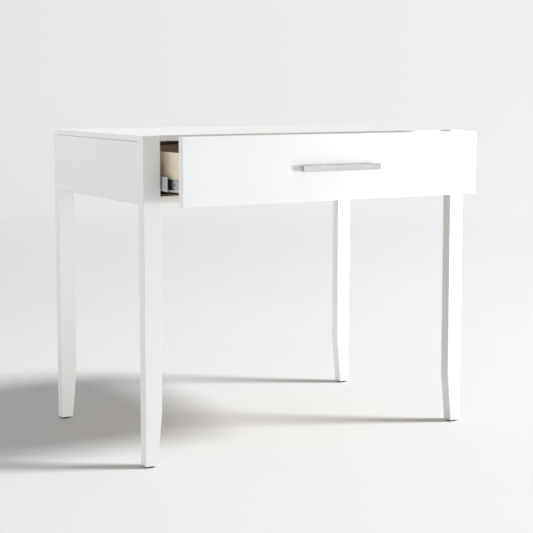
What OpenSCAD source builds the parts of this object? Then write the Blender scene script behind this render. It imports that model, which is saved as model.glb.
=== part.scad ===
// Writing desk with one wide inset drawer on side-mounted ball-bearing slides.
// Frame: +X right, +Y to the back, +Z up, origin on the floor at the middle of
// the legs' footprint. The drawer is drawn partly open, at its rest position.

/* [Desk] */
// Overall width across the legs
desk_w = 900; // [700:10:1200]
// Overall depth across the legs, drawer closed
desk_d = 558; // [520:1:650]
// Height of the work surface above the floor
desk_h = 762; // [720:1:780]
// Thickness of the top
top_t = 13.5; // [12:0.5:20]
// How far the top and the front rail sit behind the legs' front faces
top_setback = 20; // [19.5:0.5:24]
// Height of the shadow line between the top and the side panels
reveal = 1.5; // [1:0.5:3]

/* [Legs] */
// Leg width across the desk
leg_w = 42; // [34:1:60]
// Leg thickness from front to back
leg_t = 28; // [26:1:40]
// Height at which the inner face starts to taper
taper_z = 142; // [110:1:220]
// Taper angle of the inner face near the foot, in degrees
taper_a = 5.4; // [2:0.2:7]
// Radius that blends the straight leg into the taper
taper_r = 260; // [100:10:400]
// Thickness of the floor glides
glide_t = 4; // [3:0.5:6]
// Diameter of the floor glides
glide_dia = 20; // [16:1:22]

/* [Carcass] */
// Height of the underside of the carcass above the floor
carcass_z = 606; // [580:1:620]
// Thickness of the side panels and the back apron
panel_t = 18; // [15:1:20]
// Height of the rail under the drawer
rail_h = 17; // [15:1:19]
// Depth of the rail under the drawer
rail_d = 60; // [40:1:90]

/* [Drawer] */
// How far the drawer stands open at rest, from closed
open_y = 107.5; // [20:0.5:300]
// Gap between the drawer front and each leg
front_gap = 3; // [2:0.5:4]
// Thickness of the drawer front
front_t = 19; // [16:0.5:19]
// Depth of the drawer box behind the front
box_d = 460; // [455:1:470]
// Underside of the drawer box sides above the floor
box_z = 636; // [630:1:640]
// Height of the drawer box sides
box_h = 88; // [76:1:95]
// Thickness of the drawer box boards
box_t = 12; // [11:0.5:14]
// Thickness of the drawer bottom
bottom_t = 5; // [4:0.5:6]

/* [Slides] */
// Length of the slides, and their full travel
slide_len = 450; // [440:1:450]
// Height of the slides' centre line above the floor
slide_z = 653.5; // [653:0.5:656]

/* [Handle] */
// Length of the bar
bar_len = 213; // [150:1:300]
// Height of the bar
bar_h = 14; // [10:1:18]
// Thickness of the bar
bar_t = 5; // [4:0.5:8]
// How far the bar's front face stands off the drawer front
bar_off = 18; // [16:1:32]
// Height of the bar's centre above the floor
bar_z = 684; // [660:1:710]
// Distance between the two posts
post_cc = 192; // [128:1:256]

/* [Hidden] */

eps = 0.01;
lacquer = [0.95, 0.95, 0.94];
birch = [0.84, 0.76, 0.66];
zinc = [0.66, 0.69, 0.71];
nickel = [0.80, 0.80, 0.79];
steel = [0.55, 0.56, 0.58];
nylon = [0.16, 0.16, 0.17];

hw = desk_w / 2;                       // half width
yf = -desk_d / 2;                      // front plane of the legs
yb = desk_d / 2;                       // back plane
yt = yf + top_setback;                 // front edge of the top
top_z = desk_h - top_t;                // underside of the top
bay_x = hw - leg_w;                    // inner face of the legs
py0 = yf + leg_t;                      // side panels run between the legs
py1 = yb - leg_t;
foot_w = leg_w - taper_r * (1 - cos(taper_a))
    - (taper_z - taper_r * sin(taper_a) - glide_t) * tan(taper_a);
glide_x = hw - foot_w / 2;             // glide centres
glide_y = -yf - leg_t / 2;

slide_t = 12.7;                        // side gap taken by a slide
box_x = bay_x - slide_t;               // outer face of the drawer sides
fx = bay_x - front_gap;                // half width of the drawer front
closed_y = yf + front_t;               // back of the drawer front, closed
dy = -open_y;                          // drawer offset from closed
by = closed_y + dy;                    // back of the drawer front, at rest
slide_y = closed_y + 4;                // front end of the slides, closed
spacer_w = hw - panel_t - bay_x;       // spacer between panel and slide
groove_z = box_z + 8;                  // underside of the drawer bottom
groove_d = 6;
hole_y = [40, 60];                     // open holes near the drawer front
dowel_r = 4;

// ---------------------------------------------------------------- helpers
// Cylinder along X from x = a to x = b
module rod_x(a, b, r, y, z) {
    translate([min(a, b), y, z]) rotate([0, 90, 0])
        cylinder(r = r, h = abs(b - a), $fn = 32);
}
// Cylinder along Y from y = a to y = b
module rod_y(a, b, r, x, z) {
    translate([x, min(a, b), z]) rotate([-90, 0, 0])
        cylinder(r = r, h = abs(b - a), $fn = 32);
}
// Box between two corners
module block(p, q) {
    translate(p) cube([q[0] - p[0], q[1] - p[1], q[2] - p[2]]);
}
// Puts a left-hand part on the left (s = 1) or mirrors it to the right
module side(s) {
    if (s > 0) children();
    else mirror([1, 0, 0]) children();
}
// Puts a front part at the front (s = 1) or mirrors it to the back
module end(s) {
    if (s > 0) children();
    else mirror([0, 1, 0]) children();
}
// Pan-head screw along +X: head against the plane x = 0, shank beyond it
module screw_x(len, r, head_r, head_h) {
    rotate([0, 90, 0]) {
        translate([0, 0, -head_h * 0.3])
            cylinder(r = r, h = len + head_h * 0.3, $fn = 24);
        translate([0, 0, -head_h]) difference() {
            cylinder(r = head_r, h = head_h, $fn = 32);
            // cross recess
            for (a = [0, 90]) rotate([0, 0, a])
                translate([-head_r * 0.5, -head_r * 0.12, -eps])
                    cube([head_r, head_r * 0.24, head_h * 0.6]);
        }
    }
}

// ------------------------------------------------------------------- legs
// Front-left leg: straight outside, tapered inside near the foot
module leg_blank() {
    n = 10;
    translate([-hw, yf + leg_t, 0]) rotate([90, 0, 0])
        linear_extrude(leg_t)
            polygon(concat([[0, glide_t], [0, desk_h], [leg_w, desk_h]],
                [for (i = [0:n]) let (a = taper_a * i / n)
                    [leg_w - taper_r * (1 - cos(a)),
                     taper_z - taper_r * sin(a)]],
                [[foot_w, glide_t]]));
}
panel_dowel_z = [carcass_z + 30, carcass_z + 112];
rail_y1 = yt + rail_d;
// Thin board that closes the carcass below the drawer, in grooves all round
dust_z = carcass_z + 8;
dust_t = 3;
dust_d = 6;
apron_y = yb - panel_t / 2;
module leg(sx, sy) {
    color(lacquer) side(sx) end(sy) difference() {
        leg_blank();
        // dowel holes for the side panel
        for (z = panel_dowel_z)
            rod_y(py0 - 15, py0 + eps, dowel_r, -hw + panel_t / 2, z);
        // dowel holes for the back apron, in the rear legs
        if (sy < 0) for (z = panel_dowel_z)
            rod_x(-bay_x - 18, -bay_x + eps, dowel_r, -apron_y, z + 8);
        // hole for the glide's stem
        translate([-glide_x, -glide_y, glide_t - eps])
            cylinder(r = 3, h = 24, $fn = 32);
    }
}
module leg_front_left() { leg(1, 1); }
module leg_front_right() { leg(-1, 1); }
module leg_rear_left() { leg(1, -1); }
module leg_rear_right() { leg(-1, -1); }

// Floor glide: chamfered disc and a ribbed stem pressed into the foot
module glide(sx, sy) {
    color(nylon) translate([-sx * glide_x, -sy * glide_y, 0]) {
        rotate_extrude($fn = 48) polygon([[0, 0], [glide_dia / 2 - 1, 0],
            [glide_dia / 2, 1], [glide_dia / 2, glide_t], [3, glide_t],
            [3, glide_t + 20], [2, glide_t + 22], [0, glide_t + 22]]);
    }
}
module glide_front_left() { glide(1, 1); }
module glide_front_right() { glide(-1, 1); }
module glide_rear_left() { glide(1, -1); }
module glide_rear_right() { glide(-1, -1); }

// ---------------------------------------------------------------- carcass
// Top, notched round the legs so that their ends show flush in its corners
module desk_top() {
    color(lacquer) difference() {
        translate([0, 0, top_z]) linear_extrude(top_t)
            polygon([[-bay_x, yt], [bay_x, yt], [bay_x, py0], [hw, py0],
                [hw, py1], [bay_x, py1], [bay_x, yb], [-bay_x, yb],
                [-bay_x, py1], [-hw, py1], [-hw, py0], [-bay_x, py0]]);
        // pilot holes for the bracket screws
        at_brackets() translate([bk * 0.6, 0, -eps])
            cylinder(r = 2, h = 10, $fn = 24);
    }
}
// Side panel with a small rebate along its top outer edge for the shadow line
module side_panel(s) {
    color(lacquer) side(s) difference() {
        block([-hw, py0, carcass_z], [-hw + panel_t, py1, top_z]);
        block([-hw - eps, py0 - eps, top_z - reveal],
              [-hw + 2, py1 + eps, top_z + eps]);
        for (z = panel_dowel_z) {
            rod_y(py0 - eps, py0 + 25, dowel_r, -hw + panel_t / 2, z);
            rod_y(py1 + eps, py1 - 25, dowel_r, -hw + panel_t / 2, z);
        }
        for (y = bracket_y)
            rod_x(-hw + panel_t - 12.5, -hw + panel_t + eps, 2, y,
                  top_z - bk * 0.62);
        // groove for the dust board
        block([-hw + panel_t - dust_d, rail_y1, dust_z],
              [-hw + panel_t + eps, py1 + eps, dust_z + dust_t]);
        // pilot holes for the spacer screws
        for (y = spacer_screw_y)
            rod_x(-hw + panel_t - 14, -hw + panel_t + eps, 1.8, y, spacer_screw_z);
    }
}
module side_panel_left() { side_panel(1); }
module side_panel_right() { side_panel(-1); }

module back_apron() {
    color(lacquer) difference() {
        block([-bay_x, yb - panel_t, carcass_z], [bay_x, yb, top_z]);
        block([-bay_x - eps, yb - 2, top_z - reveal],
              [bay_x + eps, yb + eps, top_z + eps]);
        block([-bay_x - eps, yb - panel_t - eps, dust_z],
              [bay_x + eps, yb - panel_t + dust_d, dust_z + dust_t]);
        for (s = [-1, 1], z = panel_dowel_z)
            rod_x(s * (bay_x + eps), s * (bay_x - 22), dowel_r, apron_y, z + 8);
        for (x = bracket_x)
            rod_y(yb - panel_t - eps, yb - panel_t + 12.5, 2, x,
                  top_z - bk * 0.62);
    }
}

// Rail under the drawer, notched round the legs and screwed up to the spacers
rail_screw_y = py0 + 22;
rail_screw_x = bay_x + spacer_w / 2;
module front_rail() {
    color(lacquer) difference() {
        translate([0, 0, carcass_z]) linear_extrude(rail_h)
            polygon([[-bay_x, yt], [bay_x, yt], [bay_x, py0],
                [hw - panel_t, py0], [hw - panel_t, rail_y1],
                [-hw + panel_t, rail_y1], [-hw + panel_t, py0],
                [-bay_x, py0]]);
        block([-hw + panel_t - eps, rail_y1 - dust_d, dust_z],
              [hw - panel_t + eps, rail_y1 + eps, dust_z + dust_t]);
        for (s = [-1, 1]) translate([s * rail_screw_x, rail_screw_y, carcass_z]) {
            translate([0, 0, -eps]) cylinder(r = 4, h = 3 + eps, $fn = 32);
            cylinder(r = 2, h = rail_h + eps, $fn = 32);
        }
    }
}
module dust_board() {
    x0 = hw - panel_t;
    y1 = yb - panel_t;
    color(birch) translate([0, 0, dust_z]) linear_extrude(dust_t)
        polygon([[-x0, rail_y1 - dust_d], [x0, rail_y1 - dust_d],
            [x0, rail_y1], [x0 + dust_d, rail_y1], [x0 + dust_d, py1],
            [bay_x, py1], [bay_x, y1 + dust_d], [-bay_x, y1 + dust_d],
            [-bay_x, py1], [-x0 - dust_d, py1], [-x0 - dust_d, rail_y1],
            [-x0, rail_y1]]);
}
module rail_screws() {
    color(steel) for (s = [-1, 1])
        translate([s * rail_screw_x, rail_screw_y, carcass_z + 3])
            rotate([0, -90, 0]) screw_x(30, 2, 4, 2.4);
}

// Board that brings the slide out flush with the legs' inner faces
spacer_z0 = carcass_z + rail_h;
spacer_z1 = slide_z + 44;
spacer_screw_y = [-200, 0, 200];
spacer_screw_z = slide_z + 33;
slide_screw_y = [slide_y + 36, slide_y + 196, slide_y + 388];
module slide_spacer(s) {
    color(birch) side(s) difference() {
        block([-hw + panel_t, py0, spacer_z0], [-bay_x, py1, spacer_z1]);
        for (y = slide_screw_y)
            rod_x(-bay_x - 15.2, -bay_x + eps, 1.8, y, slide_z);
        for (y = spacer_screw_y) {
            rod_x(-hw + panel_t - eps, -bay_x + eps, 1.8, y, spacer_screw_z);
            rod_x(-bay_x - 2.6, -bay_x + eps, 3.6, y, spacer_screw_z);
        }
        translate([-rail_screw_x, rail_screw_y, spacer_z0 - eps])
            cylinder(r = 2, h = 30 - rail_h + 3 + eps, $fn = 32);
    }
}
module slide_spacer_left() { slide_spacer(1); }
module slide_spacer_right() { slide_spacer(-1); }
module spacer_screws() {
    color(steel) for (s = [1, -1]) side(s) for (y = spacer_screw_y)
        translate([-bay_x - 2.6, y, spacer_screw_z]) rotate([0, 0, 180])
            screw_x(spacer_w - 2.6 + 14, 1.8, 3.6, 2.2);
}

// Hidden wooden dowels between the legs, the side panels and the back apron
module panel_dowels() {
    color(birch) {
        for (sx = [1, -1], sy = [1, -1], z = panel_dowel_z) side(sx) end(sy)
            rod_y(py0 - 14, py0 + 24, dowel_r, -hw + panel_t / 2, z);
        for (s = [1, -1], z = panel_dowel_z) side(s)
            rod_x(-bay_x - 17, -bay_x + 21, dowel_r, apron_y, z + 8);
    }
}

// Angle brackets that hold the top down, on the panels' inner faces
bracket_y = [-190, -20, 150];
bracket_x = [-250, 0, 250];
bk = 24;                               // length of each bracket leg
bt = 2;                                // bracket thickness
// One bracket: wall leg on the plane x = 0, facing +X, top leg under z = 0
module bracket() {
    rotate([90, 0, 0]) translate([0, 0, -9]) difference() {
        linear_extrude(18) polygon([[0, 0], [0, -bk], [bt, -bk],
            [bt, -bt - 1], [bt + 1, -bt], [bk, -bt], [bk, 0]]);
        translate([bk * 0.6, eps, 9]) rotate([90, 0, 0])
            cylinder(r = 2, h = bt + 1, $fn = 32);
        translate([-eps, -bk * 0.62, 9]) rotate([0, 90, 0])
            cylinder(r = 2, h = bt + 1, $fn = 32);
    }
}
module bracket_screw_pair() {
    translate([bt, 0, -bk * 0.62]) rotate([0, 0, 180]) screw_x(14, 2, 3.8, 2);
    translate([bk * 0.6, 0, -bt]) rotate([0, -90, 0]) screw_x(11.5, 2, 3.8, 2);
}
module at_brackets() {
    for (s = [1, -1], y = bracket_y) side(s)
        translate([-hw + panel_t, y, top_z]) children();
    for (x = bracket_x) translate([x, yb - panel_t, top_z])
        rotate([0, 0, -90]) children();
}
module top_brackets() { color(zinc) at_brackets() bracket(); }
module bracket_screws() { color(steel) at_brackets() bracket_screw_pair(); }

// ----------------------------------------------------------------- slides
// Sections are drawn in (s, z): s from the cabinet side to the drawer side
t_web = 1.2;
// Extrudes a section along Y on the left side, front end at y = y0
module slide_bar(y0, len) {
    translate([-bay_x, y0 + len, slide_z]) rotate([90, 0, 0])
        linear_extrude(len) children();
}
// Channel with its web at s = a and flanges reaching s = b, half height h
module channel(a, b, h, t, web_far) {
    if (web_far)
        polygon([[a, -h], [b, -h], [b, h], [a, h], [a, h - t],
            [b - t, h - t], [b - t, -h + t], [a, -h + t]]);
    else
        polygon([[a, -h], [b, -h], [b, -h + t], [a + t, -h + t],
            [a + t, h - t], [b, h - t], [b, h], [a, h]]);
}
// Channel whose flanges turn in at their ends, down to z = lip
module lipped_channel(b, h, t, lip) {
    polygon([[0, -h], [b, -h], [b, -lip], [b - t, -lip], [b - t, -h + t],
        [t, -h + t], [t, h - t], [b - t, h - t], [b - t, lip], [b, lip],
        [b, h], [0, h]]);
}
module slot_x(a, b, y, z, r, len) {
    rod_x(a, b, r, y - len / 2, z);
    rod_x(a, b, r, y + len / 2, z);
    block([a, y - len / 2, z - r], [b, y + len / 2, z + r]);
}
module slide_cabinet_member(s) {
    color(zinc) side(s) difference() {
        slide_bar(slide_y, slide_len) lipped_channel(9, 22.5, t_web, 19.6);
        for (y = slide_screw_y)
            rod_x(-bay_x - eps, -bay_x + t_web + eps, 3.8, y, slide_z);
        for (y = [slide_y + 70, slide_y + 260, slide_y + 420])
            slot_x(-bay_x - eps, -bay_x + t_web + eps, y, slide_z, 2.2, 6);
    }
}
module slide_cabinet_member_left() { slide_cabinet_member(1); }
module slide_cabinet_member_right() { slide_cabinet_member(-1); }
module slide_cabinet_screws() {
    color(steel) for (s = [1, -1]) side(s) for (y = slide_screw_y)
        translate([-bay_x, y, slide_z]) rotate([0, 0, 180])
            screw_x(15, 1.8, 3.8, 1.2);
}

my = slide_y + dy / 2;                 // middle member, front end at rest
module slide_middle_member(s) {
    color(zinc) side(s) difference() {
        slide_bar(my, slide_len) channel(2.2, 10.5, 17, t_web, false);
        for (y = [my + 78, my + 225, my + 372])
            slot_x(-bay_x + 2.2 - eps, -bay_x + 2.2 + t_web + eps,
                   y, slide_z, 5, 16);
    }
}
module slide_middle_member_left() { slide_middle_member(1); }
module slide_middle_member_right() { slide_middle_member(-1); }

// Ball cages: outer one between cabinet and middle members, moving a quarter
// as far as the drawer, inner one three quarters as far
cage_len = 215;
cage_y = slide_y + 118;                // cage front end, drawer closed
module ball_cage(s, y0, web_s, flange_s, h, ball_r, ball_s, ball_z) {
    color(steel) side(s) {
        slide_bar(y0, cage_len) channel(web_s, flange_s, h, 0.6, false);
        for (i = [0:5], m = [-1, 1])
            translate([-bay_x + ball_s, y0 + 12 + i * (cage_len - 24) / 5,
                       slide_z + m * ball_z]) sphere(r = ball_r, $fn = 24);
    }
}
module outer_ball_cage(s) {
    ball_cage(s, cage_y + dy / 4, 1.4, 7, 19.45, 2, 4.6, 19.15);
}
module inner_ball_cage(s) {
    ball_cage(s, cage_y + dy * 3 / 4, 3.6, 9, 14.95, 1, 7.5, 14.65);
}
module outer_ball_cage_left() { outer_ball_cage(1); }
module outer_ball_cage_right() { outer_ball_cage(-1); }
module inner_ball_cage_left() { inner_ball_cage(1); }
module inner_ball_cage_right() { inner_ball_cage(-1); }

ry = slide_y + dy;                     // drawer member, front end at rest
drawer_screw_y = [ry + 150, ry + 290, ry + 430];
module slide_drawer_member(s) {
    color(zinc) side(s) difference() {
        slide_bar(ry, slide_len) channel(5, 12.7, 13.5, t_web, true);
        // open fixing holes just behind the drawer front
        for (y = hole_y)
            rod_x(-box_x - t_web - eps, -box_x + eps, 2.6, by + y, slide_z);
        for (y = drawer_screw_y)
            rod_x(-box_x - t_web - eps, -box_x + eps, 1.8, y, slide_z);
    }
}
module slide_drawer_member_left() { slide_drawer_member(1); }
module slide_drawer_member_right() { slide_drawer_member(-1); }
module slide_drawer_screws() {
    color(steel) for (s = [1, -1]) side(s) for (y = drawer_screw_y)
        translate([-box_x - t_web, y, slide_z])
            screw_x(11, 1.8, 3.6, 1.6);
}

// ----------------------------------------------------------------- drawer
handle_x = post_cc / 2;
front_screw_x = [-320, -150, 150, 320];
front_screw_z = box_z + 52;
module drawer_front() {
    color(lacquer) difference() {
        block([-fx, by - front_t, carcass_z], [fx, by, desk_h]);
        for (s = [-1, 1])
            rod_y(by - front_t - eps, by + eps, 2.3, s * handle_x, bar_z);
        for (x = front_screw_x)
            rod_y(by - 13, by + eps, 1.8, x, front_screw_z);
    }
}
corner_dowel_z = [box_z + 30, box_z + 66];
box_back_z = groove_z + bottom_t;      // the back stands on the bottom
module drawer_side(s) {
    color(birch) side(s) difference() {
        block([-box_x, by, box_z], [-box_x + box_t, by + box_d, box_z + box_h]);
        // groove for the drawer bottom
        block([-box_x + box_t - groove_d, by + box_t - groove_d, groove_z],
              [-box_x + box_t + eps, by + box_d + eps, groove_z + bottom_t]);
        for (y = [by + box_t / 2, by + box_d - box_t / 2], z = corner_dowel_z)
            rod_x(-box_x + box_t - 8, -box_x + box_t + eps, 3, y, z);
        for (y = drawer_screw_y)
            rod_x(-box_x - eps, -box_x + 10, 1.8, y, slide_z);
        // pilot holes behind the slide's two open fixing holes
        for (y = hole_y)
            rod_x(-box_x - eps, -box_x + 9, 2.4, by + y, slide_z);
    }
}
module drawer_side_left() { drawer_side(1); }
module drawer_side_right() { drawer_side(-1); }
inner_x = box_x - box_t;
module drawer_box_front() {
    color(birch) difference() {
        block([-inner_x, by, box_z], [inner_x, by + box_t, box_z + box_h]);
        block([-inner_x - eps, by + box_t - groove_d, groove_z],
              [inner_x + eps, by + box_t + eps, groove_z + bottom_t]);
        for (s = [-1, 1], z = corner_dowel_z)
            rod_x(s * (inner_x + eps), s * (inner_x - 16), 3, by + box_t / 2, z);
        for (x = front_screw_x)
            rod_y(by - eps, by + box_t + eps, 2, x, front_screw_z);
        for (s = [-1, 1])
            rod_y(by - eps, by + box_t + eps, 2.3, s * handle_x, bar_z);
    }
}
module drawer_box_back() {
    y1 = by + box_d;
    color(birch) difference() {
        block([-inner_x, y1 - box_t, box_back_z],
              [inner_x, y1, box_z + box_h]);
        for (s = [-1, 1], z = corner_dowel_z)
            rod_x(s * (inner_x + eps), s * (inner_x - 16), 3, y1 - box_t / 2, z);
    }
}
module drawer_bottom() {
    color(birch)
        block([-inner_x - groove_d, by + box_t - groove_d, groove_z],
              [inner_x + groove_d, by + box_d, groove_z + bottom_t]);
}
module drawer_corner_dowels() {
    color(birch) for (s = [1, -1], z = corner_dowel_z,
        y = [by + box_t / 2, by + box_d - box_t / 2])
        side(s) rod_x(-box_x + box_t - 7.5, -box_x + box_t + 15.5, 3, y, z);
}
module drawer_front_screws() {
    color(steel) for (x = front_screw_x)
        translate([x, by + box_t, front_screw_z]) rotate([0, 0, -90])
            screw_x(24, 1.8, 3.8, 2);
}

// Two clear pads that soften the drawer's stop against the front rail
module drawer_bumpers() {
    color([0.85, 0.87, 0.88]) for (s = [-1, 1])
        rod_y(by, by + 0.8, 4, s * (fx - 26), carcass_z + 8.5);
}

// ----------------------------------------------------------------- handle
bar_y = by - front_t - bar_off;        // front face of the bar
module handle_bar() {
    c = 1;
    color(nickel) difference() {
        translate([-bar_len / 2, 0, bar_z]) rotate([90, 0, 90])
            linear_extrude(bar_len) polygon([
                [bar_y + c, -bar_h / 2], [bar_y + bar_t - c, -bar_h / 2],
                [bar_y + bar_t, -bar_h / 2 + c],
                [bar_y + bar_t, bar_h / 2 - c],
                [bar_y + bar_t - c, bar_h / 2], [bar_y + c, bar_h / 2],
                [bar_y, bar_h / 2 - c], [bar_y, -bar_h / 2 + c]]);
        for (s = [-1, 1])
            rod_y(bar_y + 1.5, bar_y + bar_t + eps, 2, s * handle_x, bar_z);
    }
}
module handle_post(s) {
    color(nickel) side(s) translate([-handle_x, by - front_t, bar_z])
        rotate([90, 0, 0]) difference() {
            cylinder(r = 5, h = bar_off - bar_t, $fn = 48);
            translate([0, 0, -eps])
                cylinder(r = 2, h = bar_off - bar_t + 2 * eps, $fn = 32);
        }
}
module handle_post_left() { handle_post(1); }
module handle_post_right() { handle_post(-1); }
module handle_screws() {
    len = box_t + front_t + bar_off - bar_t + 3;
    color(steel) for (s = [-1, 1])
        translate([s * handle_x, by + box_t, bar_z]) rotate([0, 0, -90])
            screw_x(len, 2, 4.2, 2.4);
}

desk_top();
leg_front_left();
leg_front_right();
leg_rear_left();
leg_rear_right();
side_panel_left();
side_panel_right();
back_apron();
front_rail();
dust_board();
slide_spacer_left();
slide_spacer_right();
panel_dowels();
top_brackets();
bracket_screws();
spacer_screws();
rail_screws();
glide_front_left();
glide_front_right();
glide_rear_left();
glide_rear_right();
slide_cabinet_member_left();
slide_cabinet_member_right();
slide_cabinet_screws();
slide_middle_member_left();
slide_middle_member_right();
outer_ball_cage_left();
outer_ball_cage_right();
inner_ball_cage_left();
inner_ball_cage_right();
slide_drawer_member_left();
slide_drawer_member_right();
slide_drawer_screws();
drawer_front();
drawer_side_left();
drawer_side_right();
drawer_box_front();
drawer_box_back();
drawer_bottom();
drawer_corner_dowels();
drawer_front_screws();
handle_bar();
handle_post_left();
handle_post_right();
handle_screws();
drawer_bumpers();
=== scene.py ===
import math

import bmesh
import bpy
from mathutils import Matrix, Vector

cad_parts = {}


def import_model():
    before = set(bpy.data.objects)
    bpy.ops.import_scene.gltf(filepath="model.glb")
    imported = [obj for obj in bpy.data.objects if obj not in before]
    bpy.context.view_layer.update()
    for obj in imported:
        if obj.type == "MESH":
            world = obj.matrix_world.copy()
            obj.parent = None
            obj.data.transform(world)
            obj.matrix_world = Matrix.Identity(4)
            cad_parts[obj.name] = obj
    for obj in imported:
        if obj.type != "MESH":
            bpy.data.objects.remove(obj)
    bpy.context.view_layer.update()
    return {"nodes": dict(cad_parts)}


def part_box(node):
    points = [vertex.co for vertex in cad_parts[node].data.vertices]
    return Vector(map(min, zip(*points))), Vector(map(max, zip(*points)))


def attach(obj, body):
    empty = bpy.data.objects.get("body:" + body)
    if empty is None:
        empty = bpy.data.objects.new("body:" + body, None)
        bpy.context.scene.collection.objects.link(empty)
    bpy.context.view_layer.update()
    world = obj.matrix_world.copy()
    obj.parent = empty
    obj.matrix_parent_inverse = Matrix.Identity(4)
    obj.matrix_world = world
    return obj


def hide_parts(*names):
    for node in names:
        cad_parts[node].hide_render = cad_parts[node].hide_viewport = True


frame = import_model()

MM = 0.001
scene = bpy.context.scene
scene.view_settings.view_transform = "Standard"
scene.view_settings.look = "None"
scene.view_settings.exposure = 0.0
scene.view_settings.gamma = 1.0


# ------------------------------------------------------------------ camera
# The picture's verticals are true and its horizon is high. A small shift and a
# few degrees of pitch frame it, and keep the whole desk in view from any side.
YAW, PITCH = math.radians(29.662), math.radians(5.913)
cam_data = bpy.data.cameras.new("camera")
cam_data.lens = 89.708
cam_data.sensor_width = 36.0
cam_data.shift_y = -0.080
cam_data.clip_start, cam_data.clip_end = 0.05, 200.0
cam = bpy.data.objects.new("camera", cam_data)
scene.collection.objects.link(cam)
cam.location = (-1.67860, -2.99296, 0.87192)
cam.rotation_euler = (math.radians(90) - PITCH, 0.0, -YAW)
scene.camera = cam
TO_RIGHT = Vector((math.cos(YAW), -math.sin(YAW), 0.0))   # the picture's right
TO_BACK = Vector((math.sin(YAW), math.cos(YAW), 0.0))     # away from the camera


# ------------------------------------------------------------- node helpers
class Net:
    """A small builder for shader node trees."""

    def __init__(self, name, world=False):
        if world:
            self.mat = bpy.data.worlds.new(name)
        else:
            self.mat = bpy.data.materials.new(name)
        self.mat.use_nodes = True
        self.tree = self.mat.node_tree
        self.tree.nodes.clear()

    def put(self, socket, value):
        if isinstance(value, bpy.types.NodeSocket):
            self.tree.links.new(value, socket)
        elif isinstance(value, bpy.types.Node):
            self.tree.links.new(value.outputs[0], socket)
        else:
            socket.default_value = value

    def node(self, kind, props=None, **inputs):
        n = self.tree.nodes.new(kind)
        for k, v in (props or {}).items():
            setattr(n, k, v)
        for k, v in inputs.items():
            key = int(k[1:]) if k[0] == "i" and k[1:].isdigit() else k.replace("_", " ")
            self.put(n.inputs[key], v)
        return n

    def math(self, op, a, b=0.0, clamp=False):
        n = self.tree.nodes.new("ShaderNodeMath")
        n.operation, n.use_clamp = op, clamp
        self.put(n.inputs[0], a)
        self.put(n.inputs[1], b)
        return n.outputs[0]

    def vec(self, op, a, b=(0.0, 0.0, 0.0), out=0):
        n = self.tree.nodes.new("ShaderNodeVectorMath")
        n.operation = op
        self.put(n.inputs[0], a)
        self.put(n.inputs[1], b)
        return n.outputs[out]

    def remap(self, value, a0, a1, b0, b1):
        n = self.tree.nodes.new("ShaderNodeMapRange")
        n.clamp = True
        for i, v in enumerate((value, a0, a1, b0, b1)):
            self.put(n.inputs[i], v)
        return n.outputs[0]

    def noise(self, vector, scale, detail=2.0, rough=0.5, distortion=0.0):
        n = self.tree.nodes.new("ShaderNodeTexNoise")
        self.put(n.inputs["Vector"], vector)
        n.inputs["Scale"].default_value = scale
        n.inputs["Detail"].default_value = detail
        n.inputs["Roughness"].default_value = rough
        n.inputs["Distortion"].default_value = distortion
        return n.outputs["Fac"]

    def blend(self, factor, a, b, mode="MIX"):
        n = self.tree.nodes.new("ShaderNodeMix")
        n.data_type, n.blend_type = "RGBA", mode
        self.put(n.inputs["Factor"], factor)
        for key, v in ((6, a), (7, b)):
            self.put(n.inputs[key], (*v, 1.0) if isinstance(v, tuple) and len(v) == 3 else v)
        return n.outputs[2]

    def ramp(self, factor, stops):
        n = self.tree.nodes.new("ShaderNodeValToRGB")
        self.put(n.inputs[0], factor)
        r = n.color_ramp
        while len(r.elements) < len(stops):
            r.elements.new(0.5)
        for e, (p, c) in zip(r.elements, stops):
            e.position, e.color = p, (*c, 1.0)
        return n.outputs[0]

    def bump(self, height, distance, strength=1.0, normal=None):
        n = self.tree.nodes.new("ShaderNodeBump")
        n.inputs["Distance"].default_value = distance
        n.inputs["Strength"].default_value = strength
        self.put(n.inputs["Height"], height)
        if normal is not None:
            self.put(n.inputs["Normal"], normal)
        return n.outputs[0]

    def surface(self, **inputs):
        n = self.tree.nodes.new("ShaderNodeBsdfPrincipled")
        for k, v in inputs.items():
            if v is not None:
                s = n.inputs[k.replace("_", " ")]
                self.put(s, (*v, 1.0) if isinstance(v, tuple) and len(v) == 3 and s.type == "RGBA" else v)
        out = self.tree.nodes.new("ShaderNodeOutputMaterial")
        self.tree.links.new(n.outputs[0], out.inputs["Surface"])
        return self.mat

    def coords(self):
        return self.node("ShaderNodeTexCoord").outputs["Object"]

    def split(self, vector):
        return self.node("ShaderNodeSeparateXYZ", Vector=vector).outputs

    def join(self, x, y, z):
        return self.node("ShaderNodeCombineXYZ", X=x, Y=y, Z=z).outputs[0]

    def along(self, axis, squeeze):
        """Object coordinates (grain, across, across), the first one squeezed."""
        c = self.split(self.coords())
        g = {"X": 0, "Y": 1, "Z": 2}[axis]
        u, v = [i for i in range(3) if i != g]
        return self.join(self.math("MULTIPLY", c[g], squeeze), c[u], c[v])

    def facing(self, axis):
        """0 to 1: how far the surface faces along that axis."""
        n = self.node("ShaderNodeTexCoord").outputs["Normal"]
        i = {"X": 0, "Y": 1, "Z": 2}[axis]
        return self.math("ABSOLUTE", self.split(n)[i])


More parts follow.
